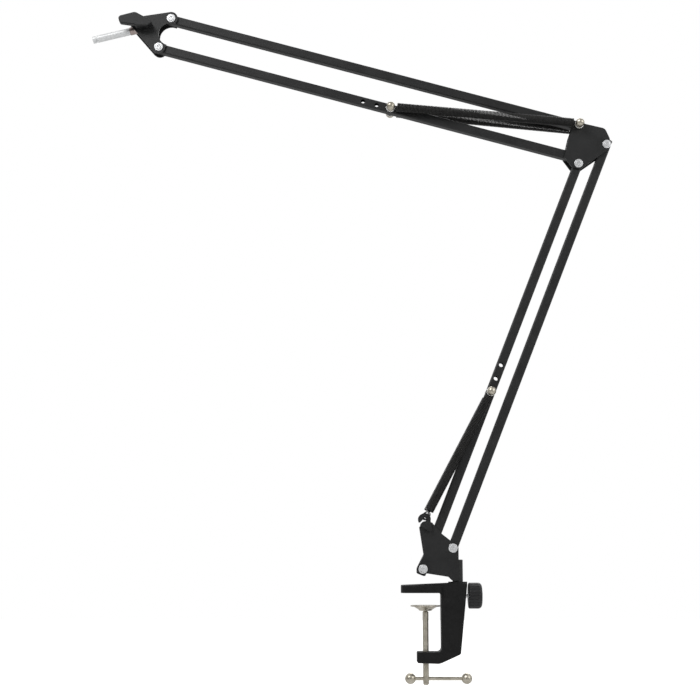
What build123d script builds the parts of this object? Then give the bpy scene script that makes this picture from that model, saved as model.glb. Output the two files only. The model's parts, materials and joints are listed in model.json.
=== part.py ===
from build123d import *
import os
from math import cos, pi, radians, sin

# Boom microphone stand: a C clamp, a swivelling post, two sprung parallelogram arms and a tilting spigot.
# Millimetres. +Z is up, +X points away from the desk, and the arms move in the XZ plane.
# The origin is on the clamp screw's axis, at the height of the upper jaw's underside.

# ---- driving dimensions ----
# Square steel arm tubes
tube_size = 10.0
tube_wall = 1.0
tube_corner = 1.5
tube_overhang = 6.5
tube_end_radius = 3.5
lower_arm_length = 480.0
upper_arm_length = 476.0
lower_arm_angle = 68.35
upper_arm_angle = 164.7

# Pivots, as (x, z)
front_pivot = (-2.6, 24.8)
base_link = (32.2, 22.2)
elbow_offset = (-11.9, 10.6)
head_link = (13.4, 34.0)

# Rivets, washers and running gaps
pin_radius = 2.5
running_gap = 0.05
open_pivot_gap = 0.15
side_gap = 0.6
washer_thickness = 0.5
washer_radius = 4.6
head_radius = 4.85
head_thickness = 0.9
head_crown_radius = 3.1
head_crown_height = 0.8
head_dimple_radius = 1.8
head_dimple_depth = 0.8

# Folded sheet brackets
sheet = 1.6
hook_offset = (2.2, 52.8)
hook_radius = 6.3
hook_notch_radius = 2.4
hook_slit = 1.8
hook_slit_angle = 224.0

# Springs
wire = 1.4
coil_diameter = 10.0
coil_wall = 1.5
eye_twist = 45.0
stud_reach = 204.5
stud_hole_pitch = 16.0
spare_holes = 2
coil_gap_at_stud = 7.0
coil_gap_at_hook = 10.4
spring_gap = 0.4

# Spring studs and cap nuts
stud_radius = 2.5
stud_washer_radius = 5.0
stud_washer_thickness = 1.0
eye_slack = 0.15
cap_ball_radius = 4.85
cap_collar_radius = 4.3
cap_collar_length = 1.2

# Post and clamp
post_x = 34.6
post_diameter = 11.2
post_top = 34.9
post_bottom = -14.0
post_gap = 0.08
post_floor_gap = 0.3
clamp_width = 20.0
jaw_width = 30.0
jaw_tip_x = -25.8
jaw_tip_height = 8.2
jaw_root_height = 10.4
boss_diameter = 20.2
boss_top = 11.6
boss_root = 3.0
spine_inner_x = 16.3
spine_outer_top = 44.2
spine_outer_bottom = 36.5
lower_jaw_top = -61.0
lower_jaw_bottom = -73.4
lower_jaw_tip_x = -9.4
throat_radius = 4.0
cast_edge = 1.2

# Clamp screw, pad and tommy bar
screw_radius = 3.1
screw_thread_gap = 0.08
screw_bottom = -95.8
screw_tip_radius = 2.0
screw_tip_head_radius = 3.0
pad_radius = 15.8
pad_top = -13.0
pad_rim = 1.3
pad_height = 5.7
pad_hub_radius = 6.4
pad_wall = 1.2
tommy_bar_z = -89.0
tommy_bar_radius = 2.0
tommy_bar_length = 59.4
tommy_bar_shift = 13.3
tommy_ball_radius = 5.8

# Lock screw and knob
lock_z = -3.0
lock_screw_radius = 2.0
knob_gap = 1.6
knob_length = 14.2
knob_radius = 13.6
knob_flutes = 24
flute_radius = 0.9
knob_edge = 4.0

# Head: tilting spigot and thumb lever
tilt_offset = (-15.5, 25.5)
spigot_angle = 193.9
spigot_radius = 4.0
spigot_length = 62.0
spigot_groove = 0.9
spigot_tip = 4.6
spigot_collar_length = 10.0
spigot_thread_radius = 3.5
spigot_edge = 0.6
spigot_collar_radius = 4.4
block_radius = 7.0
block_reach = 9.0
block_nose_radius = 5.0
bolt_radius = 2.5
lever_gap = 0.3
lever_hub_height = 11.0
lever_blade = 6.0
head_lobe_radius = 7.5
head_arc_radius = 13.3
spigot_seat = 6.0
bolt_hexagon_radius = 4.6
bolt_hexagon_height = 3.5

os.makedirs("parts", exist_ok=True)

# ---- derived places ----


def polar(length, angle):
    return Vector(length * cos(radians(angle)), 0, length * sin(radians(angle)))


def from_xz(pair):
    return Vector(pair[0], 0, pair[1])


PIVOT_A = from_xz(front_pivot)
PIVOT_B = PIVOT_A + from_xz(base_link)
PIVOT_C = PIVOT_A + polar(lower_arm_length, lower_arm_angle)
PIVOT_D = PIVOT_C + from_xz(base_link)
PIVOT_E = PIVOT_C + from_xz(elbow_offset)
PIVOT_F = PIVOT_E + from_xz(head_link)
PIVOT_G = PIVOT_E + polar(upper_arm_length, upper_arm_angle)
PIVOT_H = PIVOT_G + from_xz(head_link)
TILT = PIVOT_G + from_xz(tilt_offset)

cheek_inner = tube_size / 2 + side_gap
cheek_outer = cheek_inner + sheet
HOOK = PIVOT_A + from_xz(hook_offset)
LOWER_STUD = PIVOT_A + polar(stud_reach, lower_arm_angle)
UPPER_STUD = PIVOT_E + polar(stud_reach, upper_arm_angle)
coil_radius = coil_diameter / 2
post_radius = post_diameter / 2
eye_radius = coil_radius - wire / 2
arm_spring_y = tube_size / 2 + coil_radius + spring_gap
elbow_spring_y = cheek_outer + coil_radius + spring_gap

# ---- shared shapes ----


def rod(centre, direction, radius, length):
    """A round bar centred on a point, along a direction."""
    plane = Plane(origin=centre, z_dir=direction)
    return plane * Cylinder(radius, length)


def rod_y(point, radius, y_start, y_end):
    """A round bar across the stand, between two depths."""
    middle = Vector(point.X, (y_start + y_end) / 2, point.Z)
    return rod(middle, (0, 1, 0), radius, abs(y_end - y_start))


def rod_x(z, radius, x_start, x_end):
    """A round bar along X, in the middle plane of the stand."""
    return rod(Vector((x_start + x_end) / 2, 0, z), (1, 0, 0), radius, abs(x_end - x_start))


def rod_z(x, radius, z_start, z_end):
    """An upright round bar, in the middle plane of the stand."""
    return rod(Vector(x, 0, (z_start + z_end) / 2), (0, 0, 1), radius, abs(z_end - z_start))


def both_sides(shape):
    """A piece and its mirror image on the far side of the middle plane."""
    return [shape, mirror(shape, about=Plane.XZ)]


def slab(points, radii, y_start, y_end):
    """A side-view outline with rounded corners, given thickness across the stand."""
    corners = [Vector(p.X, y_start, p.Z) for p in points]
    face = make_face(FilletPolyline(*corners, radius=radii, close=True).edges())
    return extrude(face, amount=y_end - y_start, dir=(0, 1, 0))


def group(solids):
    return Compound(children=[s for item in solids for s in item.solids()])


def save(name, shape):
    export_step(shape, f"parts/{name}.step")


# ---- clamp ----


def clamp_frame():
    half = clamp_width / 2
    outline = [
        Vector(jaw_tip_x, 0, 0),
        Vector(jaw_tip_x, 0, jaw_tip_height),
        Vector(post_x - boss_diameter / 2, 0, jaw_root_height),
        Vector(spine_outer_top, 0, jaw_root_height),
        Vector(spine_outer_bottom, 0, lower_jaw_top - 2.5),
        Vector(spine_inner_x - 2.0, 0, lower_jaw_bottom),
        Vector(lower_jaw_tip_x, 0, lower_jaw_bottom + 0.8),
        Vector(lower_jaw_tip_x, 0, lower_jaw_top),
        Vector(spine_inner_x, 0, lower_jaw_top),
        Vector(spine_inner_x, 0, 0),
    ]
    radii = [1.5, 2.0, 0.5, 1.5, 3.0, 12.0, 1.5, 1.5, throat_radius, 2.5]
    body = slab(outline, radii, -half, half)
    body = fillet(body.edges().filter_by(Plane.XZ).group_by(Axis.Y)[-1], cast_edge)
    body = fillet(body.edges().filter_by(Plane.XZ).group_by(Axis.Y)[0], cast_edge)
    jaw = Box(spine_inner_x - jaw_tip_x, jaw_width, jaw_tip_height, align=(Align.MIN, Align.CENTER, Align.MIN))
    jaw = fillet(jaw.edges().filter_by(Axis.Z).group_by(Axis.X)[0], 6.0)
    jaw = Pos(jaw_tip_x, 0, 0) * fillet(jaw.edges().group_by(Axis.Z)[-1], cast_edge)
    body = body + jaw + rod_z(post_x, boss_diameter / 2, boss_top, jaw_root_height - boss_root)
    body -= rod_z(post_x, post_radius + post_gap, boss_top + 1.0, post_bottom - post_floor_gap)
    body -= rod_z(0, screw_radius + screw_thread_gap, lower_jaw_top + 1.0, lower_jaw_bottom - 1.0)
    body -= rod_x(lock_z, lock_screw_radius + running_gap, post_x + post_radius - 2.0, spine_outer_top + 1.0)
    return body


def clamp_screw():
    top = pad_top - pad_rim - pad_wall
    neck_top = pad_top - pad_height + pad_wall
    body = rod_z(0, screw_radius, neck_top - pad_wall - side_gap, screw_bottom)
    body = chamfer(body.edges().group_by(Axis.Z)[-1], 0.8)
    body = fillet(body.edges().group_by(Axis.Z)[0], 2.0)
    neck = rod_z(0, screw_tip_radius, top, neck_top - pad_wall - side_gap - 1.0)
    tip = rod_z(0, screw_tip_head_radius, top, neck_top + running_gap)
    screw = body + neck + tip
    return screw - rod_x(tommy_bar_z, tommy_bar_radius + running_gap, -2 * screw_radius, 2 * screw_radius)


def clamp_pad():
    top = pad_top
    bottom = pad_top - pad_height
    profile = [
        Vector(0, 0, top),
        Vector(pad_radius, 0, top),
        Vector(pad_radius, 0, top - pad_rim),
        Vector(pad_radius - 3.0, 0, top - pad_rim),
        Vector(pad_hub_radius + 1.5, 0, bottom + 1.6),
        Vector(pad_hub_radius, 0, bottom),
        Vector(0, 0, bottom),
    ]
    face = make_face(FilletPolyline(*profile, radius=[0, 0.5, 0.3, 3.0, 1.5, 0.5, 0], close=True).edges())
    pad = revolve(face, Axis.Z, 360)
    socket_top = top - pad_rim - pad_wall + 2 * running_gap
    pad -= rod_z(0, screw_tip_head_radius + 2 * running_gap, socket_top, bottom + pad_wall)
    return pad - rod_z(0, screw_tip_radius + 2 * running_gap, socket_top, bottom - 1.0)


def tommy_bar():
    return rod_x(tommy_bar_z, tommy_bar_radius, *bar_ends())


def bar_ends():
    return (tommy_bar_shift - tommy_bar_length / 2, tommy_bar_shift + tommy_bar_length / 2)


def tommy_bar_balls():
    balls = []
    for end in bar_ends():
        balls.append(Pos(end, 0, tommy_bar_z) * Sphere(tommy_ball_radius) - tommy_bar())
    return group(balls)


def lock_screw():
    start = post_x + post_radius + running_gap
    screw = rod_x(lock_z, lock_screw_radius, start, knob_start() + knob_length / 2)
    return chamfer(screw.edges().group_by(Axis.X)[0], 0.5)


def knob_start():
    return spine_outer_top + knob_gap


def lock_knob():
    start = knob_start()
    knob = rod_x(lock_z, knob_radius, start, start + knob_length)
    knob = fillet(knob.edges().group_by(Axis.X)[-1], knob_edge)
    knob = fillet(knob.edges().group_by(Axis.X)[0], knob_edge / 3)
    for index in range(knob_flutes):
        turn = 2 * pi * index / knob_flutes
        y = (knob_radius + flute_radius / 3) * cos(turn)
        z = lock_z + (knob_radius + flute_radius / 3) * sin(turn)
        knob -= rod(Vector(start + knob_length / 2, y, z), (1, 0, 0), flute_radius, knob_length + 2)
    return knob - rod_x(lock_z, lock_screw_radius, start - 1.0, start + knob_length / 2)


# ---- pivots ----


def rivet(point):
    """A semi-tubular rivet: flange, raised crown and centre dimple on both ends."""
    half = cheek_outer
    body = rod_y(point, pin_radius, -half, half)
    for side in (-1, 1):
        flange = rod_y(point, head_radius, side * half, side * (half + head_thickness))
        flange = fillet(flange.edges().sort_by(lambda e: side * e.center().Y)[-1], head_thickness / 2)
        crown_top = half + head_thickness + head_crown_height
        crown = rod_y(point, head_crown_radius, side * half, side * crown_top)
        crown = fillet(crown.edges().sort_by(lambda e: side * e.center().Y)[-1], head_crown_height / 2)
        dimple = rod_y(point, head_dimple_radius, side * (crown_top - head_dimple_depth), side * (crown_top + 1))
        body = body + flange + crown - dimple
    return body


def pivot_washers(points):
    """Nylon washers that fill the gap between a tube and the cheeks on each side."""
    start = tube_size / 2 + running_gap
    washers = []
    for point in points:
        ring = rod_y(point, washer_radius, start, start + washer_thickness)
        ring -= rod_y(point, pin_radius + running_gap, start - 1, start + washer_thickness + 1)
        washers += both_sides(ring)
    return group(washers)


# ---- arm tubes ----


def arm_tube(start, end, pin_gaps, stud_from=None):
    """A square tube with rounded ends, drilled for its pivots and, on request, for the spring stud."""
    along = (end - start).normalized()
    middle = (start + end) * 0.5
    length = (end - start).length + 2 * tube_overhang
    plane = Plane(origin=middle, x_dir=(0, 1, 0), z_dir=along)
    outer = RectangleRounded(tube_size, tube_size, tube_corner)
    inner = RectangleRounded(tube_size - 2 * tube_wall, tube_size - 2 * tube_wall, tube_corner - tube_wall / 2)
    tube = extrude(plane * (outer - inner), amount=length / 2, both=True)
    side = Vector(-along.Z, 0, along.X) * (tube_size / 2 + 1.0)
    tip = along * tube_overhang
    outline = [start - tip - side, end + tip - side, end + tip + side, start - tip + side]
    keep = slab(outline, [tube_end_radius] * 4, -tube_size, tube_size)
    tube = tube & keep
    for point, gap in zip((start, end), pin_gaps):
        tube -= rod_y(point, pin_radius + gap, -tube_size, tube_size)
    if stud_from is not None:
        direction = (start + end - stud_from * 2).normalized()
        for index in range(1 + spare_holes):
            reach = stud_reach + index * stud_hole_pitch
            tube -= rod_y(stud_from + direction * reach, stud_radius + running_gap, -tube_size, tube_size)
    return tube


# ---- folded brackets ----


def cheek_pair(points, radii):
    """The two side plates of a folded bracket, before their holes."""
    near = slab(points, radii, -cheek_outer, -cheek_inner)
    return both_sides(near)


def web(start, end, drop):
    """The folded strip that joins two cheeks along one straight edge; drop turns it to the inside."""
    along = (end - start).normalized()
    inward = Vector(-along.Z, 0, along.X) * drop
    outline = [start, end, end + inward, start + inward]
    return slab(outline, [0] * 4, -cheek_inner, cheek_inner)


def bored(solid, points, radius):
    for point in points:
        solid -= rod_y(point, radius, -2 * cheek_outer, 2 * cheek_outer)
    return solid


def base_bracket():
    a = PIVOT_A
    post_side = post_x - a.X
    corners = [
        a + Vector(-6.3, 0, -5.0),
        a + Vector(4.8, 0, -4.6),
        a + Vector(post_side - 9.5, 0, -8.2),
        a + Vector(post_side - 5.6, 0, boss_top - a.Z + 1.2),
        a + Vector(post_side + 0.8, 0, boss_top - a.Z + 1.2),
        a + Vector(post_side + 0.8, 0, 23.6),
        a + Vector(20.4, 0, 37.2),
        a + Vector(9.6, 0, 49.8),
        a + Vector(-3.2, 0, 44.8),
        a + Vector(1.2, 0, 15.7),
        a + Vector(-6.3, 0, 0.8),
    ]
    radii = [2.5, 4.0, 3.0, 0.5, 0.5, 4.0, 10.0, 2.0, 0.8, 3.0, 4.0]
    near = slab(corners, radii, -cheek_outer, -cheek_inner)
    near += hook_ear()
    slope = web(corners[1] + Vector(3.4, 0, -0.6), corners[2] + Vector(-2.0, 0, 0.4), sheet)
    body = near + mirror(near, about=Plane.XZ) + slope
    body -= rod_z(post_x, post_radius, post_top + 1.0, boss_top)
    return bored(body, (PIVOT_A, PIVOT_B), pin_radius)


def hook_ear():
    """The spring hook, stepped outwards so that the coil runs clear of the tube."""
    outer = -arm_spring_y - sheet / 2
    inner = outer + sheet
    root = PIVOT_A + Vector(1.5, 0, 44.6)
    across = Vector(6.2, 0, -3.4)
    neck = [root + across * 1.35, HOOK + Vector(5.8, 0, 0.5), HOOK + Vector(-1.0, 0, -3.0), root - across * 0.6]
    ear = slab(neck, [0.5, 1.0, 0.5, 0.5], outer, inner)
    ear += rod_y(HOOK, hook_radius, outer, inner)
    step = slab(step_outline(root, across), [0.3] * 4, outer, -cheek_inner)
    ear += step
    ear -= rod_y(HOOK, hook_notch_radius, 2 * outer, 0)
    mouth = HOOK + polar(hook_radius / 2 + 2.0, hook_slit_angle)
    slit = Plane(origin=mouth, x_dir=polar(1, hook_slit_angle), z_dir=(0, 1, 0))
    return ear - slit * Box(hook_radius + 4.0, hook_slit, 8 * cheek_outer)


def step_outline(root, across):
    depth = Vector(across.Z, 0, -across.X).normalized() * sheet
    return [root - across * 0.5, root + across * 1.2, root + across * 1.2 + depth, root - across * 0.5 + depth]


def swivel_post():
    post = rod_z(post_x, post_radius, post_top, post_bottom)
    return chamfer(post.edges().filter_by(GeomType.CIRCLE), 0.6)


def elbow_bracket():
    c = PIVOT_C
    corners = [
        c + Vector(2.0, 0, -6.4),
        c + Vector(36.0, 0, 17.2),
        c + Vector(35.6, 0, 29.0),
        c + Vector(30.6, 0, 40.4),
        c + Vector(-3.4, 0, 48.6),
        c + Vector(-9.7, 0, 31.5),
        c + Vector(-13.3, 0, 16.5),
        c + Vector(-15.8, 0, 7.4),
        c + Vector(-7.2, 0, -4.8),
    ]
    radii = [6.0, 5.0, 8.0, 6.0, 6.0, 20.0, 20.0, 3.0, 4.0]
    near, far = cheek_pair(corners, radii)
    saddle = web(corners[3] + Vector(-4.0, 0, 0.96), corners[4] + Vector(16.0, 0, -4.68), sheet)
    body = near + far + saddle
    return bored(body, (PIVOT_C, PIVOT_D, PIVOT_E, PIVOT_F), pin_radius)


def head_bracket():
    g = PIVOT_G
    corners = [
        g + Vector(-6.0, 0, -5.0),
        g + Vector(8.0, 0, 0.0),
        PIVOT_H + Vector(7.4, 0, 0.0),
        PIVOT_H + Vector(-1.1, 0, 7.4),
        g + Vector(-31.5, 0, 34.6),
        g + Vector(-34.6, 0, 28.4),
    ]
    near = slab(corners, [0.5, 0.5, 0.5, 0.5, 3.0, 1.5], -cheek_outer, -cheek_inner)
    near += rod_y(PIVOT_G, head_lobe_radius, -cheek_outer, -cheek_inner)
    near += rod_y(PIVOT_H, head_lobe_radius, -cheek_outer, -cheek_inner)
    near -= rod_y(g + Vector(12.8, 0, 15.2), head_arc_radius, -2 * cheek_outer, 0)
    saddle = web(PIVOT_H + Vector(-10.0, 0, 6.04), PIVOT_H + Vector(-22.0, 0, 4.22), sheet)
    body = near + mirror(near, about=Plane.XZ) + saddle
    body = bored(body, (PIVOT_G, PIVOT_H), pin_radius)
    return bored(body, (TILT,), bolt_radius + running_gap)


def elbow_pivot_pin():
    return rod_y(PIVOT_E, pin_radius, -cheek_outer, cheek_outer)


# ---- spring studs ----


def eye_depth(spring_y):
    """Depth of an eye's plane: the eye leaves the side of the coil that is next to the arm."""
    return spring_y - eye_radius


def spring_seat(spring_y):
    """Depth at which the spring's eye starts on its stud."""
    return eye_depth(spring_y) - wire / 2 - eye_slack


def spring_stud(point, spring_y):
    end = spring_seat(spring_y) + wire + 2 * eye_slack + stud_washer_thickness + cap_collar_length + cap_ball_radius
    return rod_y(point, stud_radius, -end, end)


def stud_washers(point, spring_y):
    start = spring_seat(spring_y) + wire + 2 * eye_slack
    ring = rod_y(point, stud_washer_radius, start, start + stud_washer_thickness)
    ring = fillet(ring.edges().filter_by(GeomType.CIRCLE), stud_washer_thickness / 4)
    ring -= rod_y(point, stud_radius, start - 1, start + 2)
    return group(both_sides(ring))


def cap_nuts(point, spring_y):
    """Ball-ended cap nuts on both ends of a spring stud."""
    start = spring_seat(spring_y) + wire + 2 * eye_slack + stud_washer_thickness
    ball_y = start + cap_collar_length + cap_ball_radius * 0.8
    nut = rod_y(point, cap_collar_radius, start, ball_y) + Pos(point.X, ball_y, point.Z) * Sphere(cap_ball_radius)
    nut -= rod_y(point, stud_radius, start - 1, start + cap_collar_length + cap_ball_radius)
    return group(both_sides(nut))


# ---- springs ----


def eye_ring(centre, along, across):
    """A closed wire loop that holds the spring's axis and the given crosswise direction in its plane."""
    normal = along.cross(across)
    return Plane(origin=centre, z_dir=normal) * Torus(eye_radius, wire / 2)


def coil_envelope(start, end):
    """The close-wound body of a spring, as the tube that its turns fill."""
    along = (end - start).normalized()
    middle = (start + end) * 0.5
    length = (end - start).length
    return rod(middle, along, coil_radius, length) - rod(middle, along, coil_radius - coil_wall, length + 1)


def shank(start, end):
    along = (end - start).normalized()
    return rod((start + end) * 0.5, along, wire / 2, (end - start).length)


def half_eye(stud, along, spring_y, reach):
    """Eye loop around a stud, with the short shank that leads to the edge of the coil."""
    centre = at_depth(stud, eye_depth(abs(spring_y)) * (1 if spring_y > 0 else -1))
    ring = eye_ring(centre, along, Vector(along.Z, 0, -along.X))
    return ring + shank(centre + along * eye_radius, centre + along * reach)


def at_depth(point, y):
    return Vector(point.X, y, point.Z)


def lower_spring(side):
    """Coil and hook eye of one lower spring; side is -1 in front and 1 behind."""
    hook = at_depth(HOOK, side * arm_spring_y)
    stud = at_depth(LOWER_STUD, side * arm_spring_y)
    along = (stud - hook).normalized()
    twisted = Vector(along.Z, 0, -along.X) * cos(radians(eye_twist)) + Vector(0, side, 0) * sin(radians(eye_twist))
    centre = hook + along * eye_radius
    ring = eye_ring(centre, along, twisted)
    coil_start = hook + along * coil_gap_at_hook
    coil = coil_envelope(coil_start, stud - along * coil_gap_at_stud)
    bridge = rod(coil_start + along * wire / 2, along, coil_radius - wire / 4, wire)
    return coil + bridge + ring + shank(centre + along * eye_radius, coil_start + along * wire)


def lower_spring_eye(side):
    along = (HOOK - LOWER_STUD).normalized()
    return half_eye(LOWER_STUD, along, side * arm_spring_y, coil_gap_at_stud - running_gap)


def upper_spring(side):
    far = at_depth(UPPER_STUD, side * arm_spring_y)
    near = at_depth(PIVOT_F, side * elbow_spring_y)
    along = (near - far).normalized()
    coil = coil_envelope(far + along * coil_gap_at_stud, near - along * coil_gap_at_stud)
    level = (PIVOT_F - UPPER_STUD).normalized()
    return coil + half_eye(UPPER_STUD, level, side * arm_spring_y, coil_gap_at_stud + wire)


def upper_spring_eye(side):
    along = (UPPER_STUD - PIVOT_F).normalized()
    return half_eye(PIVOT_F, along, side * elbow_spring_y, coil_gap_at_stud - 2 * running_gap)


# ---- head fittings ----


def spigot_block():
    half = cheek_inner - running_gap
    block = rod_y(TILT, block_radius, -half, half)
    nose = polar(1, spigot_angle)
    block += rod(TILT + nose * block_reach / 2, nose, block_nose_radius, block_reach)
    block -= rod_y(TILT, bolt_radius + running_gap, -2 * half, 2 * half)
    return block - rod(TILT + nose * block_reach, nose, spigot_thread_radius, 2 * spigot_seat)


def shoulder_reach():
    """How far from the tilt axis the full-size rod starts, just past the lock nut."""
    return block_reach + spigot_collar_length + 2 * running_gap


def mic_spigot():
    """The rod that a microphone holder slides on, with a thinner threaded root screwed into the block."""
    nose = polar(1, spigot_angle)
    root = TILT + nose * (block_reach - spigot_seat)
    shoulder = TILT + nose * shoulder_reach()
    tip = TILT + nose * spigot_length
    spigot = rod((shoulder + tip) * 0.5, nose, spigot_radius, (tip - shoulder).length)
    spigot = fillet(spigot.edges().filter_by(GeomType.CIRCLE).sort_by(Axis.X)[0], spigot_edge)
    spigot += rod((root + shoulder + nose) * 0.5, nose, spigot_thread_radius, (shoulder + nose - root).length)
    groove = tip - nose * spigot_tip
    return spigot - (rod(groove, nose, spigot_radius + 1, 1.2) - rod(groove, nose, spigot_radius - spigot_groove, 2.0))


def spigot_lock_nut():
    nose = polar(1, spigot_angle)
    start = TILT + nose * (block_reach + running_gap)
    nut = rod(start + nose * spigot_collar_length / 2, nose, spigot_collar_radius, spigot_collar_length)
    nut = fillet(nut.edges().filter_by(GeomType.CIRCLE), 0.5)
    return nut - rod(start, nose, spigot_thread_radius, 4 * spigot_collar_length)


def tilt_bolt():
    """Bolt through the head, with its hexagon on the far side and its thread in the lever."""
    start = -cheek_outer - lever_gap - lever_hub_height / 2
    end = cheek_outer + lever_gap
    bolt = rod_y(TILT, bolt_radius, start, end)
    hexagon = extrude(
        Plane(origin=at_depth(TILT, end), z_dir=(0, 1, 0)) * RegularPolygon(bolt_hexagon_radius, 6),
        amount=bolt_hexagon_height,
    )
    return bolt + chamfer(hexagon.edges().group_by(Axis.Y)[-1], 0.5)


def tilt_lever():
    """Plastic thumb lever: a long boss on the bolt, with one blade level with its front."""
    near = -cheek_outer - lever_gap
    front = near - lever_hub_height
    boss_outline = [
        TILT + Vector(9.4, 0, -0.9),
        TILT + Vector(4.0, 0, 4.6),
        TILT + Vector(-8.0, 0, 6.6),
        TILT + Vector(-11.5, 0, -4.6),
        TILT + Vector(3.4, 0, -4.6),
    ]
    boss = slab(boss_outline, [0.9, 3.0, 2.0, 2.0, 3.0], front, near)
    blade_outline = [
        TILT + Vector(0.0, 0, 6.2),
        TILT + Vector(-10.3, 0, 12.0),
        TILT + Vector(-29.8, 0, 6.8),
        TILT + Vector(-27.4, 0, -1.2),
        TILT + Vector(-13.0, 0, -3.2),
        TILT + Vector(-2.0, 0, -2.0),
    ]
    blade = slab(blade_outline, [2.0, 6.0, 3.5, 3.0, 6.0, 1.0], front, front + lever_blade)
    lever = boss + blade
    lever = fillet(lever.edges().group_by(Axis.Y)[0], 1.2)
    return lever - rod_y(TILT, bolt_radius, near + 1, near - lever_hub_height / 2)


# ---- assembly ----


def side_name(side):
    return "front" if side < 0 else "rear"


def build():
    parts = {
        "clamp_frame": clamp_frame(),
        "clamp_screw": clamp_screw(),
        "clamp_pad": clamp_pad(),
        "tommy_bar": tommy_bar(),
        "tommy_bar_balls": tommy_bar_balls(),
        "lock_screw": lock_screw(),
        "lock_knob": lock_knob(),
        "swivel_post": swivel_post(),
        "base_bracket": base_bracket(),
        "base_rivets": group([rivet(PIVOT_A), rivet(PIVOT_B)]),
        "base_washers": pivot_washers([PIVOT_A, PIVOT_B]),
        "lower_arm_front_tube": arm_tube(PIVOT_A, PIVOT_C, (running_gap, running_gap), PIVOT_A),
        "lower_arm_rear_tube": arm_tube(PIVOT_B, PIVOT_D, (running_gap, open_pivot_gap)),
        "lower_spring_stud": spring_stud(LOWER_STUD, arm_spring_y),
        "lower_stud_washers": stud_washers(LOWER_STUD, arm_spring_y),
        "lower_cap_nuts": cap_nuts(LOWER_STUD, arm_spring_y),
        "elbow_bracket": elbow_bracket(),
        "elbow_rivets": group([rivet(PIVOT_C), rivet(PIVOT_D)]),
        "elbow_washers": pivot_washers([PIVOT_C, PIVOT_D, PIVOT_E, PIVOT_F]),
        "elbow_pivot_pin": elbow_pivot_pin(),
        "elbow_spring_stud": spring_stud(PIVOT_F, elbow_spring_y),
        "elbow_stud_washers": stud_washers(PIVOT_F, elbow_spring_y),
        "elbow_cap_nuts": cap_nuts(PIVOT_F, elbow_spring_y),
        "upper_arm_lower_tube": arm_tube(PIVOT_E, PIVOT_G, (running_gap, running_gap), PIVOT_E),
        "upper_arm_upper_tube": arm_tube(PIVOT_F, PIVOT_H, (running_gap, open_pivot_gap)),
        "upper_spring_stud": spring_stud(UPPER_STUD, arm_spring_y),
        "upper_stud_washers": stud_washers(UPPER_STUD, arm_spring_y),
        "upper_cap_nuts": cap_nuts(UPPER_STUD, arm_spring_y),
        "head_bracket": head_bracket(),
        "head_rivets": group([rivet(PIVOT_G), rivet(PIVOT_H)]),
        "head_washers": pivot_washers([PIVOT_G, PIVOT_H]),
        "spigot_block": spigot_block(),
        "mic_spigot": mic_spigot(),
        "spigot_lock_nut": spigot_lock_nut(),
        "tilt_bolt": tilt_bolt(),
        "tilt_lever": tilt_lever(),
    }
    for side in (-1, 1):
        parts[f"lower_spring_{side_name(side)}"] = lower_spring(side)
        parts[f"lower_spring_eye_{side_name(side)}"] = lower_spring_eye(side)
        parts[f"upper_spring_{side_name(side)}"] = upper_spring(side)
        parts[f"upper_spring_eye_{side_name(side)}"] = upper_spring_eye(side)
    return parts


for name, shape in build().items():
    save(name, shape)
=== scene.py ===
import bpy
import bmesh
import json
from math import cos, radians, sin
from mathutils import Matrix, Vector


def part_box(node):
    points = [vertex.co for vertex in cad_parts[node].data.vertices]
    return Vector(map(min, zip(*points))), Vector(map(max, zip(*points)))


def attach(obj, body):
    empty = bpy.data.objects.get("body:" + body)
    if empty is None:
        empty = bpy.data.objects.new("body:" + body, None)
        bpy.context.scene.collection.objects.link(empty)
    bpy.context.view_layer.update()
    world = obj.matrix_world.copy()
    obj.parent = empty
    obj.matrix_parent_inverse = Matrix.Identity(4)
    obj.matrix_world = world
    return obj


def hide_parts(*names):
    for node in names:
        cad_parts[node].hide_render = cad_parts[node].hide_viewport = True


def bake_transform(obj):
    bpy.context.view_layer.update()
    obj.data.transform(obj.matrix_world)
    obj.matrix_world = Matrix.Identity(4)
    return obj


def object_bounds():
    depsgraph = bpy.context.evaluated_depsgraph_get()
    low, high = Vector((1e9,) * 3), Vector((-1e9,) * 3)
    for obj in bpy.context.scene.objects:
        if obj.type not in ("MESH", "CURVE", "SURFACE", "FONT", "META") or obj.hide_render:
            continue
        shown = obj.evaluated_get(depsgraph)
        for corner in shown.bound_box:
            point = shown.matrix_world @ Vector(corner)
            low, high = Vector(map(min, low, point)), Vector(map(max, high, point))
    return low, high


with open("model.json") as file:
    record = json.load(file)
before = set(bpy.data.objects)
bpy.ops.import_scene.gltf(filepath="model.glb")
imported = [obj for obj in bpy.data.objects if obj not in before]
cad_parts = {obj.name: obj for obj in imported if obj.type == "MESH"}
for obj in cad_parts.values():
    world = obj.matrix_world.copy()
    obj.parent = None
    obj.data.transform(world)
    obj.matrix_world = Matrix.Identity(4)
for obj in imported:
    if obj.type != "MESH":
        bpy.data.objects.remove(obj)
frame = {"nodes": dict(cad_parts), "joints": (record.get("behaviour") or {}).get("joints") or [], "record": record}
cad_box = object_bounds()

# %% [markdown]
# # A boom microphone stand
# The solids of this stand come from CAD, in metres, and already sit where they belong. What Blender adds
# is everything a hand would notice: wound springs, screw threads, paint, plating and plastic grain.
# Positions are always read from the frame, so a change to the CAD carries through to the looks.

# %% Millimetres and places in the frame
MM = 0.001


def middle(node):
    """The centre of a CAD node's box."""
    low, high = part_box(node)
    return (Vector(low) + Vector(high)) / 2


joints = {joint["name"]: joint for joint in frame["joints"]}

# %% [markdown]
# ## Camera
# The stand is tall and thin and is seen from straight in front, about 1.4 metres away. The camera sits low,
# just above the clamp, and tips up so that both arms fit. It has no shift, and its depth of field stays off.

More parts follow.
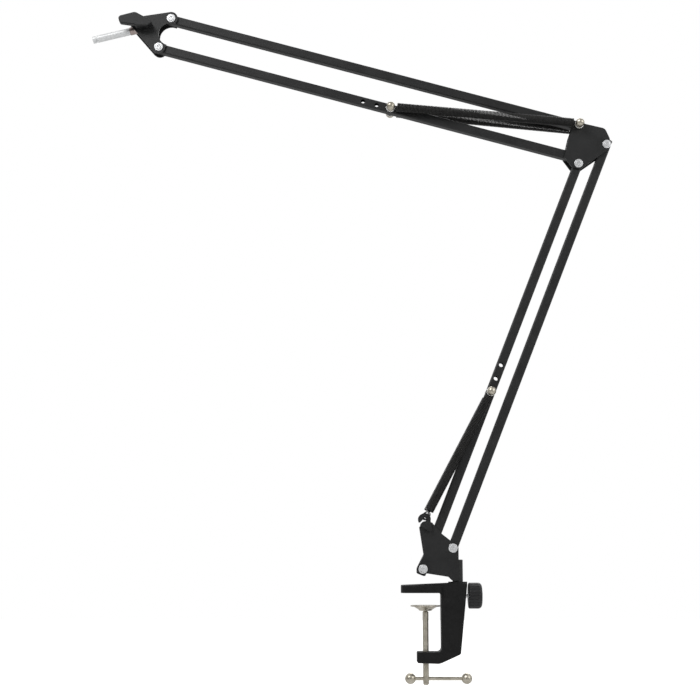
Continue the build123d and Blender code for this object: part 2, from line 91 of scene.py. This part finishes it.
# %% Camera
CAMERA_PLACE = Vector((-0.0802, -1.4287, 0.0396))
CAMERA_TIP_UP = 8.83
CAMERA_LENS = 67.9
CAMERA_SENSOR = 36.0

camera_data = bpy.data.cameras.new("camera")
camera_data.lens = CAMERA_LENS
camera_data.sensor_width = CAMERA_SENSOR
camera = bpy.data.objects.new("camera", camera_data)
camera.location = CAMERA_PLACE
camera.rotation_euler = (radians(90 + CAMERA_TIP_UP), 0, 0)
bpy.context.collection.objects.link(camera)
bpy.context.scene.camera = camera
print("camera at", tuple(round(value, 3) for value in camera.location))

# %% [markdown]
# ## Light
# Black paint and bright plating are both drawn by what they reflect, so the room matters more than the
# lamps. The world is pure white wherever the camera looks. What a surface sees of it is brighter behind and
# above the stand and dimmer in front and below, as in a studio with a pale backdrop and a darker room
# behind the camera. That contrast is what gives round metal its shape.

# %% World
AMBIENT = 0.50
MIRRORED = 1.0
WHITE = (1, 1, 1, 1)
FRONT_SHARE = 0.42
BELOW_SHARE = 0.42
DEPTH_SPAN = (-0.5, 0.5)
HEIGHT_SPAN = (-0.5, 0.6)

world = bpy.data.worlds.new("studio")
world.use_nodes = True
bpy.context.scene.world = world
bpy.context.scene.view_settings.view_transform = "Standard"


def add_node(tree, kind, **settings):
    """A new node; settings name its properties."""
    node = tree.nodes.new(kind)
    for name, value in settings.items():
        setattr(node, name, value)
    return node


def join(tree, source, target):
    tree.links.new(source, target)


def feed(tree, value, target):
    """Gives an input what it needs: another node's output, or a plain number or colour."""
    if isinstance(value, bpy.types.NodeSocket):
        join(tree, value, target)
    else:
        target.default_value = value


def calculate(tree, operation, first, second):
    """One Math node; each of its two inputs is a socket or a number."""
    node = add_node(tree, "ShaderNodeMath", operation=operation)
    feed(tree, first, node.inputs[0])
    feed(tree, second, node.inputs[1])
    return node.outputs[0]


def rescale(tree, value, source, target):
    """A Map Range node from one (low, high) pair to another, cut off outside."""
    node = add_node(tree, "ShaderNodeMapRange")
    join(tree, value, node.inputs["Value"])
    for name, number in zip(("From Min", "From Max", "To Min", "To Max"), (*source, *target)):
        node.inputs[name].default_value = number
    return node.outputs["Result"]


def build_world(tree):
    tree.nodes.clear()
    path = add_node(tree, "ShaderNodeLightPath")
    place = add_node(tree, "ShaderNodeTexCoord")
    direction = add_node(tree, "ShaderNodeSeparateXYZ")
    join(tree, place.outputs["Generated"], direction.inputs[0])
    behind = rescale(tree, direction.outputs["Y"], DEPTH_SPAN, (FRONT_SHARE, 1.0))
    above = rescale(tree, direction.outputs["Z"], HEIGHT_SPAN, (BELOW_SHARE, 1.0))
    room = calculate(tree, "MULTIPLY", behind, above)
    mirrored = calculate(tree, "MAXIMUM", path.outputs["Is Glossy Ray"], path.outputs["Is Transmission Ray"])
    level = rescale(tree, mirrored, (0.0, 1.0), (AMBIENT, MIRRORED))
    for_surfaces = calculate(tree, "MULTIPLY", room, level)
    strength = calculate(tree, "MAXIMUM", for_surfaces, path.outputs["Is Camera Ray"])
    background = add_node(tree, "ShaderNodeBackground")
    background.inputs["Color"].default_value = WHITE
    join(tree, strength, background.inputs["Strength"])
    output = add_node(tree, "ShaderNodeOutputWorld")
    join(tree, background.outputs[0], output.inputs["Surface"])


build_world(world.node_tree)
print("world: ambient", AMBIENT)

# %% Lamps
LAMPS = {
    "key_lamp": {"place": (-1.3, -1.6, 1.9), "size": 1.2, "power": 34.0},
    "fill_lamp": {"place": (1.6, -1.2, 1.0), "size": 1.4, "power": 14.0},
    "back_lamp": {"place": (0.4, 1.6, 1.7), "size": 1.2, "power": 12.0},
}
LAMP_TARGET = Vector((-0.08, 0, 0.3))


def add_lamp(name, place, size, power):
    """A square soft lamp aimed at the middle of the stand."""
    data = bpy.data.lights.new(name, "AREA")
    data.shape = "SQUARE"
    data.size = size
    data.energy = power
    lamp = bpy.data.objects.new(name, data)
    lamp.location = place
    lamp.rotation_euler = (LAMP_TARGET - lamp.location).to_track_quat("-Z", "Y").to_euler()
    bpy.context.collection.objects.link(lamp)


for lamp_name, lamp_facts in LAMPS.items():
    add_lamp(lamp_name, **lamp_facts)
print("lamps:", ", ".join(LAMPS))

# %% [markdown]
# ## Floor
# The clamp hangs in the air here, as it does when a stand is shown without a desk, so the floor lies well
# below it. Its glow shows to the camera alone, so the paper reads as white and adds no light of its own.

# %% Floor
FLOOR_DROP = 0.22
FLOOR_HALF = 6.0
FLOOR_GLOW = 0.95
PAPER = (0.94, 0.94, 0.94, 1)


def floor_material():
    material = bpy.data.materials.new("floor_paper")
    material.use_nodes = True
    tree = material.node_tree
    shader = tree.nodes["Principled BSDF"]
    shader.inputs["Base Color"].default_value = PAPER
    shader.inputs["Roughness"].default_value = 1.0
    shader.inputs["Specular IOR Level"].default_value = 0.0
    shader.inputs["Emission Color"].default_value = WHITE
    path = add_node(tree, "ShaderNodeLightPath")
    glow = calculate(tree, "MULTIPLY", path.outputs["Is Camera Ray"], FLOOR_GLOW)
    join(tree, glow, shader.inputs["Emission Strength"])
    return material


def add_floor(height):
    mesh = bpy.data.meshes.new("floor")
    half = FLOOR_HALF
    corners = [(-half, -half, height), (half, -half, height), (half, half, height), (-half, half, height)]
    mesh.from_pydata(corners, [], [(0, 1, 2, 3)])
    mesh.materials.append(floor_material())
    floor = bpy.data.objects.new("floor", mesh)
    bpy.context.collection.objects.link(floor)


add_floor(cad_box[0][2] - FLOOR_DROP)
print("floor at", round(cad_box[0][2] - FLOOR_DROP, 3), "m")

# %% [markdown]
# ## Effects that several finishes share
# A shader node group is like a function: it is built once and each material calls it with its own numbers.
# Four of them do the work here. One breaks up an even surface with soft blotches, one gives the fine
# pebbled skin of powder coat, cast iron or moulded plastic, one draws fine lines along a metal, and one
# scatters rubbed patches where hands and tools have been.

# %% Node group helpers


def new_group(name, inputs, outputs):
    """An empty shader group with named sockets; inputs give a default value each."""
    tree = bpy.data.node_groups.new(name, "ShaderNodeTree")
    for socket, value in inputs.items():
        kind = "NodeSocketVector" if isinstance(value, tuple) else "NodeSocketFloat"
        tree.interface.new_socket(socket, in_out="INPUT", socket_type=kind).default_value = value
    for socket in outputs:
        tree.interface.new_socket(socket, in_out="OUTPUT", socket_type="NodeSocketFloat")
    start = add_node(tree, "NodeGroupInput")
    end = add_node(tree, "NodeGroupOutput")
    place = add_node(tree, "ShaderNodeTexCoord")
    return tree, start, end, place.outputs["Object"]


def noise(tree, vector, scale, detail, roughness=0.55):
    """A noise texture; scale is a socket or a number."""
    texture = add_node(tree, "ShaderNodeTexNoise")
    join(tree, vector, texture.inputs["Vector"])
    feed(tree, scale, texture.inputs["Scale"])
    texture.inputs["Detail"].default_value = detail
    texture.inputs["Roughness"].default_value = roughness
    return texture.outputs["Fac"]


def ramp(tree, value, low, high):
    """Stretches a value so that low becomes nought and high becomes one, cut off outside."""
    return rescale(tree, value, (low, high), (0.0, 1.0))


print("helpers ready")

# %% Blotches, pebbles, brushing and scuffs


def blotch_group():
    tree, start, end, place = new_group("blotches", {"Scale": 40.0}, ["Mask"])
    value = noise(tree, place, start.outputs["Scale"], detail=4.0, roughness=0.6)
    join(tree, ramp(tree, value, low=0.3, high=0.7), end.inputs["Mask"])
    return tree


def pebble_group():
    """Fine grain: two sizes of noise, as a height."""
    times_finer, finer_share = 2.7, 0.4
    tree, start, end, place = new_group("pebbles", {"Scale": 1200.0}, ["Height"])
    finer_scale = calculate(tree, "MULTIPLY", start.outputs["Scale"], times_finer)
    coarse = noise(tree, place, start.outputs["Scale"], detail=2.0)
    finer = noise(tree, place, finer_scale, detail=1.0)
    fainter = calculate(tree, "MULTIPLY", finer, finer_share)
    join(tree, calculate(tree, "ADD", coarse, fainter), end.inputs["Height"])
    return tree


def brushing_group():
    """Fine lines: noise stretched along one direction by a Mapping node."""
    sockets = {"Stretch": (400.0, 400.0, 12.0), "Scale": 6.0}
    tree, start, end, place = new_group("brushing", sockets, ["Lines"])
    mapping = add_node(tree, "ShaderNodeMapping", vector_type="POINT")
    join(tree, place, mapping.inputs["Vector"])
    join(tree, start.outputs["Stretch"], mapping.inputs["Scale"])
    value = noise(tree, mapping.outputs["Vector"], start.outputs["Scale"], detail=3.0, roughness=0.65)
    join(tree, ramp(tree, value, low=0.25, high=0.75), end.inputs["Lines"])
    return tree


def scuff_group():
    """Sparse rubbed patches broken up by a finer noise, for handled paint and plating."""
    times_finer = 14.0
    tree, start, end, place = new_group("scuffs", {"Scale": 55.0, "Amount": 0.5}, ["Mask"])
    finer_scale = calculate(tree, "MULTIPLY", start.outputs["Scale"], times_finer)
    broad = ramp(tree, noise(tree, place, start.outputs["Scale"], detail=3.0), low=0.60, high=0.76)
    broken = ramp(tree, noise(tree, place, finer_scale, detail=3.0), low=0.45, high=0.7)
    patchy = calculate(tree, "MULTIPLY", broad, broken)
    join(tree, calculate(tree, "MULTIPLY", patchy, start.outputs["Amount"]), end.inputs["Mask"])
    return tree


BLOTCHES = blotch_group()
PEBBLES = pebble_group()
BRUSHING = brushing_group()
SCUFFS = scuff_group()
print("node groups:", ", ".join(group.name for group in (BLOTCHES, PEBBLES, BRUSHING, SCUFFS)))

# %% A finish from a few plain numbers
# A Mix node holds one pair of inputs for each kind of value under the same names, so its two colours and
# its colour output are asked for by number.
MIX_FIRST, MIX_SECOND, MIX_RESULT = 6, 7, 2


class Finish:
    """One Principled material under construction: its tree, its shader, and short ways to wire it."""

    def __init__(self, name, metallic, roughness):
        self.material = bpy.data.materials.new(name)
        self.material.use_nodes = True
        self.tree = self.material.node_tree
        self.shader = self.tree.nodes["Principled BSDF"]
        self.shader.inputs["Metallic"].default_value = metallic
        self.shader.inputs["Roughness"].default_value = roughness

    def effect(self, group, output, **values):
        node = add_node(self.tree, "ShaderNodeGroup", node_tree=group)
        for name, value in values.items():
            node.inputs[name].default_value = value
        return node.outputs[output]

    def colours(self, mask, first, second):
        """Mixes two colours by a mask; each is three numbers or the output of another mix."""
        mix = add_node(self.tree, "ShaderNodeMix", data_type="RGBA")
        join(self.tree, mask, mix.inputs["Factor"])
        for index, colour in ((MIX_FIRST, first), (MIX_SECOND, second)):
            feed(self.tree, (*colour, 1) if isinstance(colour, tuple) else colour, mix.inputs[index])
        return mix.outputs[MIX_RESULT]

    def paint(self, colour):
        join(self.tree, colour, self.shader.inputs["Base Color"])

    def roughen(self, mask, low, high):
        """Roughness that runs from low to high with a mask."""
        join(self.tree, rescale(self.tree, mask, (0.0, 1.0), (low, high)), self.shader.inputs["Roughness"])

    def bump(self, height, depth, strength):
        """Relief of a real depth in metres."""
        node = add_node(self.tree, "ShaderNodeBump")
        node.inputs["Strength"].default_value = strength
        node.inputs["Distance"].default_value = depth
        join(self.tree, height, node.inputs["Height"])
        join(self.tree, node.outputs["Normal"], self.shader.inputs["Normal"])


print("finishes are built on the Principled shader")

# %% [markdown]
# ## Paint and casting
# The tubes and brackets are steel with a satin black powder coat: nearly even, with a fine orange-peel skin
# and faint paler rubs. The clamp is a casting under the same coat, so its grain is coarser and deeper, and
# its colour a little patchier. The springs are oil-blackened wire. The knob and the lever are textured
# plastic, and the washers hidden in the pivots are nylon.

# %% Black finishes


def black_paint():
    finish = Finish("satin_black_powder_coat", metallic=0.0, roughness=0.42)
    finish.shader.inputs["Specular IOR Level"].default_value = 0.38
    blotches = finish.effect(BLOTCHES, "Mask", Scale=45.0)
    coat = finish.colours(blotches, (0.0095, 0.0098, 0.0100), (0.0150, 0.0153, 0.0156))
    scuffs = finish.effect(SCUFFS, "Mask", Scale=70.0, Amount=0.35)
    finish.paint(finish.colours(scuffs, coat, (0.075, 0.076, 0.078)))
    finish.roughen(blotches, low=0.38, high=0.50)
    finish.bump(finish.effect(PEBBLES, "Height", Scale=1500.0), depth=0.04 * MM, strength=0.6)
    return finish.material


def cast_black():
    finish = Finish("black_coated_casting", metallic=0.0, roughness=0.5)
    finish.shader.inputs["Specular IOR Level"].default_value = 0.24
    blotches = finish.effect(BLOTCHES, "Mask", Scale=90.0)
    coat = finish.colours(blotches, (0.0022, 0.0022, 0.0022), (0.0055, 0.0055, 0.0056))
    scuffs = finish.effect(SCUFFS, "Mask", Scale=110.0, Amount=0.5)
    finish.paint(finish.colours(scuffs, coat, (0.05, 0.05, 0.05)))
    finish.roughen(blotches, low=0.44, high=0.62)
    finish.bump(finish.effect(PEBBLES, "Height", Scale=520.0), depth=0.22 * MM, strength=0.75)
    return finish.material


def spring_black():
    """Oil-blackened wire: dark metal with a slight brown cast and a dull shine."""
    finish = Finish("black_oxide_wire", metallic=0.4, roughness=0.5)
    blotches = finish.effect(BLOTCHES, "Mask", Scale=160.0)
    finish.paint(finish.colours(blotches, (0.0075, 0.0075, 0.0072), (0.0180, 0.0176, 0.0168)))
    finish.roughen(blotches, low=0.42, high=0.56)
    finish.bump(finish.effect(PEBBLES, "Height", Scale=2600.0), depth=0.02 * MM, strength=0.5)
    return finish.material


def moulded_black(name, grain, roughness):
    """Fine-textured black plastic; grain is how fine its skin is."""
    smoother, rougher = 0.05, 0.06
    finish = Finish(name, metallic=0.0, roughness=roughness)
    finish.shader.inputs["Specular IOR Level"].default_value = 0.4
    blotches = finish.effect(BLOTCHES, "Mask", Scale=70.0)
    finish.paint(finish.colours(blotches, (0.0060, 0.0063, 0.0069), (0.0115, 0.0118, 0.0125)))
    finish.roughen(blotches, low=roughness - smoother, high=roughness + rougher)
    finish.bump(finish.effect(PEBBLES, "Height", Scale=grain), depth=0.06 * MM, strength=0.7)
    return finish.material


MATERIALS = {
    "black_paint": black_paint(),
    "cast_black": cast_black(),
    "black_oxide": spring_black(),
    "knob_black": moulded_black("textured_black_plastic", grain=1700.0, roughness=0.5),
    "spacer_black": moulded_black("black_nylon", grain=2400.0, roughness=0.42),
}
print("black finishes:", ", ".join(MATERIALS))

# %% [markdown]
# ## Plated metal
# Rivets, studs, steel washers, the tilt bolt and the lock screw are bright zinc, a little grey and softly
# mottled. The clamp screw, its pad, its bar with the balls, and the cap nuts are satin nickel, which is
# warmer. The spigot is satin chrome, even all over, and the nut at its foot is bronzed steel.

# %% Plated finishes
TARNISH = 0.45
BRUSH_DEPTH = 0.01 * MM
SATIN_DEPTH = 0.0005 * MM
ALONG_X = (20.0, 700.0, 700.0)
ALONG_Z = (700.0, 700.0, 20.0)
EVEN = (90.0, 90.0, 90.0)


def plated(name, dull, bright, roughness, stretch, depth=BRUSH_DEPTH, metal=1.0):
    """Plated metal with slight tarnish; stretch sets which way its fine lines run, or EVEN for no way."""
    smoother, rougher = 0.07, 0.09
    finish = Finish(name, metal, roughness)
    blotches = finish.effect(BLOTCHES, "Mask", Scale=130.0)
    plate = finish.colours(blotches, dull, bright)
    scuffs = finish.effect(SCUFFS, "Mask", Scale=150.0, Amount=0.45)
    tarnish = tuple(value * TARNISH for value in dull)
    finish.paint(finish.colours(scuffs, plate, tarnish))
    lines = finish.effect(BRUSHING, "Lines", Stretch=stretch)
    finish.roughen(lines, low=roughness - smoother, high=roughness + rougher)
    finish.bump(lines, depth, strength=0.5)
    return finish.material


MATERIALS["zinc"] = plated(
    "bright_zinc_plate", dull=(0.74, 0.75, 0.76), bright=(0.90, 0.91, 0.92),
    roughness=0.30, stretch=ALONG_X, metal=0.6,
)
MATERIALS["nickel"] = plated(
    "satin_nickel_plate", dull=(0.41, 0.38, 0.31), bright=(0.57, 0.535, 0.46),
    roughness=0.34, stretch=ALONG_Z,
)
MATERIALS["chrome_plate"] = plated(
    "satin_chrome", dull=(0.68, 0.69, 0.70), bright=(0.76, 0.77, 0.77),
    roughness=0.45, stretch=EVEN, depth=SATIN_DEPTH, metal=0.25,
)
MATERIALS["bronze"] = plated(
    "dark_bronzed_steel", dull=(0.33, 0.27, 0.25), bright=(0.46, 0.39, 0.37),
    roughness=0.36, stretch=ALONG_X,
)
print("materials:", ", ".join(MATERIALS))

# %% Every CAD node takes the finish of its slot
for subpart in frame["record"]["subparts"]:
    for place in frame["nodes"][subpart["node"]].material_slots:
        place.material = MATERIALS[subpart["material_slot"]]

# %% [markdown]
# ## Winding with Geometry Nodes
# A spring's coil and a screw's thread are the same thing: one line wound round an axis, given a profile.
# The tree below takes a Spiral curve, sweeps a small circle along it and closes its ends. With a round
# profile it winds springs, and with four corners and a small radius it cuts the sharp ridge of a thread.

# %% The winding tree


def winding_tree():
    tree = bpy.data.node_groups.new("winding", "GeometryNodeTree")
    for name, kind in (
        ("Turns", "NodeSocketFloat"),
        ("Radius", "NodeSocketFloat"),
        ("Length", "NodeSocketFloat"),
        ("Wire Radius", "NodeSocketFloat"),
        ("Turn Points", "NodeSocketInt"),
        ("Wire Points", "NodeSocketInt"),
        ("Material", "NodeSocketMaterial"),
    ):
        tree.interface.new_socket(name, in_out="INPUT", socket_type=kind)
    tree.interface.new_socket("Geometry", in_out="OUTPUT", socket_type="NodeSocketGeometry")
    start = add_node(tree, "NodeGroupInput")
    end = add_node(tree, "NodeGroupOutput")
    spiral = add_node(tree, "GeometryNodeCurveSpiral")
    profile = add_node(tree, "GeometryNodeCurvePrimitiveCircle")
    sweep = add_node(tree, "GeometryNodeCurveToMesh")
    sweep.inputs["Fill Caps"].default_value = True
    smooth = add_node(tree, "GeometryNodeSetShadeSmooth")
    realize = add_node(tree, "GeometryNodeRealizeInstances")
    finish = add_node(tree, "GeometryNodeSetMaterial")
    join(tree, start.outputs["Turn Points"], spiral.inputs["Resolution"])
    join(tree, start.outputs["Turns"], spiral.inputs["Rotations"])
    join(tree, start.outputs["Radius"], spiral.inputs["Start Radius"])
    join(tree, start.outputs["Radius"], spiral.inputs["End Radius"])
    join(tree, start.outputs["Length"], spiral.inputs["Height"])
    join(tree, start.outputs["Wire Points"], profile.inputs["Resolution"])
    join(tree, start.outputs["Wire Radius"], profile.inputs["Radius"])
    join(tree, spiral.outputs["Curve"], sweep.inputs["Curve"])
    join(tree, profile.outputs["Curve"], sweep.inputs["Profile Curve"])
    join(tree, sweep.outputs["Mesh"], smooth.inputs["Geometry"])
    join(tree, smooth.outputs["Geometry"], realize.inputs["Geometry"])
    join(tree, realize.outputs["Geometry"], finish.inputs["Geometry"])
    join(tree, start.outputs["Material"], finish.inputs["Material"])
    join(tree, finish.outputs["Geometry"], end.inputs["Geometry"])
    return tree


WINDING = winding_tree()


def placed(origin, along, across):
    """The matrix that puts a piece made along +Z at the origin where it belongs."""
    z_axis = along.normalized()
    x_axis = (across - z_axis * across.dot(z_axis)).normalized()
    y_axis = z_axis.cross(x_axis)
    matrix = Matrix((x_axis, y_axis, z_axis)).transposed().to_4x4()
    return Matrix.Translation(origin) @ matrix


def finished_mesh(holder):
    """The mesh that a modifier or a curve comes to; its holder is then removed."""
    bpy.context.collection.objects.link(holder)
    graph = bpy.context.evaluated_depsgraph_get()
    mesh = bpy.data.meshes.new_from_object(holder.evaluated_get(graph))
    bpy.data.objects.remove(holder)
    return mesh


def wind(matrix, material, **sizes):
    """A plain mesh of one winding, moved to its place; sizes are the tree's inputs by name."""
    holder = bpy.data.objects.new("winding", bpy.data.meshes.new("winding"))
    modifier = holder.modifiers.new("winding", "NODES")
    modifier.node_group = WINDING
    sizes["Material"] = material
    for item in WINDING.interface.items_tree:
        if item.in_out == "INPUT":
            modifier[item.identifier] = sizes[item.name]
    mesh = finished_mesh(holder)
    mesh.transform(matrix)
    return mesh


print("winding tree with", len(WINDING.nodes), "nodes")

# %% One object from several meshes
SAME_POINT = 0.002 * MM


def piece(name, material, meshes):
    """One object from several meshes, with its doubles merged and its faces pointing outwards."""
    whole = bmesh.new()
    for mesh in meshes:
        whole.from_mesh(mesh)
    bmesh.ops.remove_doubles(whole, verts=whole.verts, dist=SAME_POINT)
    bmesh.ops.recalc_face_normals(whole, faces=whole.faces)
    result = bpy.data.meshes.new(name)
    for face in whole.faces:
        face.material_index = 0
        face.smooth = True
    whole.to_mesh(result)
    whole.free()
    result.materials.append(material)
    thing = bpy.data.objects.new(name, result)
    bpy.context.collection.objects.link(thing)
    return thing


print("meshes are joined where points lie within", round(SAME_POINT / MM, 4), "mm")

# %% [markdown]
# ## Springs
# Each arm is balanced by a pair of tension springs. Both pairs are wound nearly solid, so they read as dark
# ribbed rods, and the upper pair's turns sit a hair further apart. The last turn at each end is bent out and
# closed into an eye: at a stud it lies in the plane in which the arm moves, and at the hook of the base
# bracket it is turned by an eighth of a turn.
# A coil stretches when its arm moves. The eye on
# the far stud is a piece of its own that stays on its stud, with a shank that reaches inside the coil.

# %% Spring sizes
WIRE = 0.7 * MM
COIL = 4.3 * MM
LOWER_PITCH = 1.50 * MM
UPPER_PITCH = 1.54 * MM
STUD_GAP = 7.0 * MM
HOOK_GAP = 10.4 * MM
WASHER_AND_SLACK = 1.15 * MM
print("spring wire", round(2 * WIRE / MM, 2), "mm, coil", round(2 * (COIL + WIRE) / MM, 2), "mm across")

# %% Bent wire


def bent_wire(points, material):
    """A round wire along a smooth curve through a few guide points, as a closed mesh."""
    curve = bpy.data.curves.new("wire", "CURVE")
    curve.dimensions = "3D"
    curve.bevel_depth = WIRE
    curve.bevel_resolution = 3
    curve.use_fill_caps = True
    spline = curve.splines.new("NURBS")
    spline.points.add(len(points) - 1)
    for slot, point in zip(spline.points, points):
        slot.co = (*point, 1)
    spline.order_u = 3
    spline.use_endpoint_u = True
    spline.resolution_u = 4
    curve.materials.append(material)
    return finished_mesh(bpy.data.objects.new("wire", curve))


print("bent wire is", round(2 * WIRE / MM, 2), "mm thick")

# %% Eyes at the ends of a coil
# The four starts, sweeps and turns are in degrees.
EYE_STEPS = 22
EYE_START = 14
EYE_SWEEP = 322
LEAD_STEPS = 6
LEAD_START = 150
LEAD_TURN = 30
LEAD_RISE = 0.3 * WIRE
SIDE_BACK = 0.5 * WIRE
SIDE_ASIDE = 1.5 * WIRE
SWING_IN = 0.45 * COIL
SWING_ASIDE = 0.3 * COIL
SWING_RISE = 1.1 * WIRE
SHANK_INSIDE = 9.0 * MM
SHANK_BEND = 0.4 * SHANK_INSIDE
SHANK_INSET = 2.4 * WIRE
SHANK_RISE = 1.2 * WIRE


def loop(centre, start_side, along):
    """Points round an eye, from its side nearest the coil; along points from the coil to the eye."""
    points = []
    for step in range(EYE_STEPS + 1):
        turn = radians(EYE_START + EYE_SWEEP * step / EYE_STEPS)
        points.append(centre - along * COIL * cos(turn) + start_side * COIL * sin(turn))
    return points


def side_eye(coil_end, along, inward):
    """An eye in the plane of the arm's motion, level with the coil's inner side."""
    side = along.cross(inward).normalized()
    rim = coil_end + inward * COIL
    lead = [rim - along * SIDE_BACK + side * SIDE_ASIDE, rim + along * WIRE]
    return lead + loop(rim + along * STUD_GAP, side, along)


def hook_eye(coil_end, along, inward, across):
    """An eye on the coil's axis; the last turn swings in to the middle of the coil first."""
    side = along.cross(inward).normalized()
    lead = []
    for step in range(LEAD_STEPS):
        turn = radians(LEAD_START - LEAD_TURN * step)
        rise = along * LEAD_RISE * step / (LEAD_STEPS - 1)
        lead.append(coil_end + (inward * cos(turn) + side * sin(turn)) * COIL + rise)
    lead.append(coil_end + inward * SWING_IN - side * SWING_ASIDE + along * SWING_RISE)
    return lead + loop(coil_end + along * (HOOK_GAP - COIL), across, along)


def stud_eye(name, coil_end, along, inward):
    """The eye at the far stud, with a shank that runs up inside the coil."""
    side = along.cross(inward).normalized()
    rim = coil_end + inward * COIL
    inside = coil_end + inward * (COIL - SHANK_INSET)
    shank = [inside - along * SHANK_INSIDE, inside - along * SHANK_BEND, rim + along * SHANK_RISE]
    material = MATERIALS["black_oxide"]
    return piece(name, material, [bent_wire(shank + loop(rim + along * STUD_GAP, side, along), material)])


shank_reach = round(SHANK_INSIDE / MM, 1)
print("an eye sweeps", EYE_SWEEP, "degrees; its shank reaches", shank_reach, "mm into the coil")

# %% Coils
TURN_POINTS = 18
WIRE_POINTS = 8


def coil_piece(name, start, end, inward, pitch, eye):
    """The coil between two points on its axis, with its near eye."""
    along = end - start
    turns = float(round(along.length / pitch))
    material = MATERIALS["black_oxide"]
    coil = wind(
        placed(start, along, inward), material, Turns=turns, Radius=COIL, Length=along.length,
        **{"Wire Radius": WIRE, "Turn Points": TURN_POINTS, "Wire Points": WIRE_POINTS},
    )
    print(name, int(turns), "turns")
    return piece(name, material, [coil, bent_wire(eye, material)])


def coil_depth(washers, outward):
    """Depth of a spring's axis at a stud: its eye lies just inside the washer."""
    outer_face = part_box(washers)[1][1]
    return outward * (outer_face - WASHER_AND_SLACK - WIRE + COIL)


for washer_name in ("lower_stud_washers", "upper_stud_washers", "elbow_stud_washers"):
    print(washer_name, "put their coil", round(coil_depth(washer_name, 1) / MM, 2), "mm from the middle")

# %% The four springs


def finish_spring(coil, eye, side, arm, eye_body):
    """Bakes the coil where it stands, ties its far eye to a body, and hides the CAD nodes they stand for."""
    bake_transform(coil)
    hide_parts(f"{arm}_spring_{side}")
    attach(eye, eye_body)
    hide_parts(f"{arm}_spring_eye_{side}")


def lower_spring(side, outward):
    inward = Vector((0, -outward, 0))
    hook = Vector(joints["lower_spring_swing"]["pos_m"])
    stud = middle("lower_spring_stud")
    hook.y = stud.y = coil_depth("lower_stud_washers", outward)
    along = (stud - hook).normalized()
    across = (Vector((along.z, 0, -along.x)) - inward).normalized()
    start = hook + along * HOOK_GAP
    end = stud - along * STUD_GAP
    eye = hook_eye(start, -along, inward, across)
    coil = coil_piece(f"lower_coil_{side}", start, end, inward, LOWER_PITCH, eye)
    far_eye = stud_eye(f"lower_coil_eye_{side}", end, along, inward)
    finish_spring(coil, far_eye, side, "lower", "lower_front")


def upper_spring(side, outward):
    inward = Vector((0, -outward, 0))
    far = middle("upper_spring_stud")
    far.y = coil_depth("upper_stud_washers", outward)
    near = middle("elbow_spring_stud")
    near.y = coil_depth("elbow_stud_washers", outward)
    along = (near - far).normalized()
    start = far + along * STUD_GAP
    end = near - along * STUD_GAP
    coil = coil_piece(f"upper_coil_{side}", start, end, inward, UPPER_PITCH, side_eye(start, -along, inward))
    far_eye = stud_eye(f"upper_coil_eye_{side}", end, along, inward)
    finish_spring(coil, far_eye, side, "upper", "upper_top")


for side_name, side_sign in (("front", -1), ("rear", 1)):
    lower_spring(side_name, side_sign)
    upper_spring(side_name, side_sign)

# %% [markdown]
# ## Screw threads
# The clamp screw and the lock screw are threaded. Their CAD solids are plain rods, so a sharp ridge is
# wound on each, standing a little proud. It rides on the same body and turns and travels with it.

# %% Threads
RIDGE = 0.42 * MM
RIDGE_PROUD = 0.12 * MM
RIDGE_TURN_POINTS = 20
RIDGE_CORNERS = 4
CLAMP_PITCH = 1.0 * MM
LOCK_PITCH = 0.7 * MM
PLAIN_ABOVE_BAR = 3 * MM
PLAIN_UNDER_PAD = 2 * MM
PLAIN_TIP = 1 * MM
INSIDE_KNOB = 1 * MM


def thread(name, body, slot_name, start, end, radius, pitch):
    """A ridge wound on a rod from one point to another."""
    along = end - start
    across = Vector((0, 1, 0))
    mesh = wind(
        placed(start, along, across), MATERIALS[slot_name], Turns=along.length / pitch,
        Radius=radius + RIDGE_PROUD - RIDGE, Length=along.length,
        **{"Wire Radius": RIDGE, "Turn Points": RIDGE_TURN_POINTS, "Wire Points": RIDGE_CORNERS},
    )
    ridge = piece(name, MATERIALS[slot_name], [mesh])
    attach(ridge, body)
    print(name, round(along.length / pitch, 1), "turns")


screw_low, screw_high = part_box("clamp_screw")
screw_axis = middle("clamp_screw")
bar_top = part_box("tommy_bar")[1][2]
pad_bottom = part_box("clamp_pad")[0][2]
thread(
    "clamp_screw_thread", "screw", "nickel",
    Vector((screw_axis.x, screw_axis.y, bar_top + PLAIN_ABOVE_BAR)),
    Vector((screw_axis.x, screw_axis.y, pad_bottom - PLAIN_UNDER_PAD)),
    (screw_high[0] - screw_low[0]) / 2, CLAMP_PITCH,
)
lock_low, lock_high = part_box("lock_screw")
lock_height = middle("lock_screw").z
knob_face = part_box("lock_knob")[0][0]
thread(
    "lock_screw_thread", "lock", "zinc",
    Vector((lock_low[0] + PLAIN_TIP, 0, lock_height)),
    Vector((knob_face + INSIDE_KNOB, 0, lock_height)),
    (lock_high[2] - lock_low[2]) / 2, LOCK_PITCH,
)

# %% End of the scene
print("scene built")
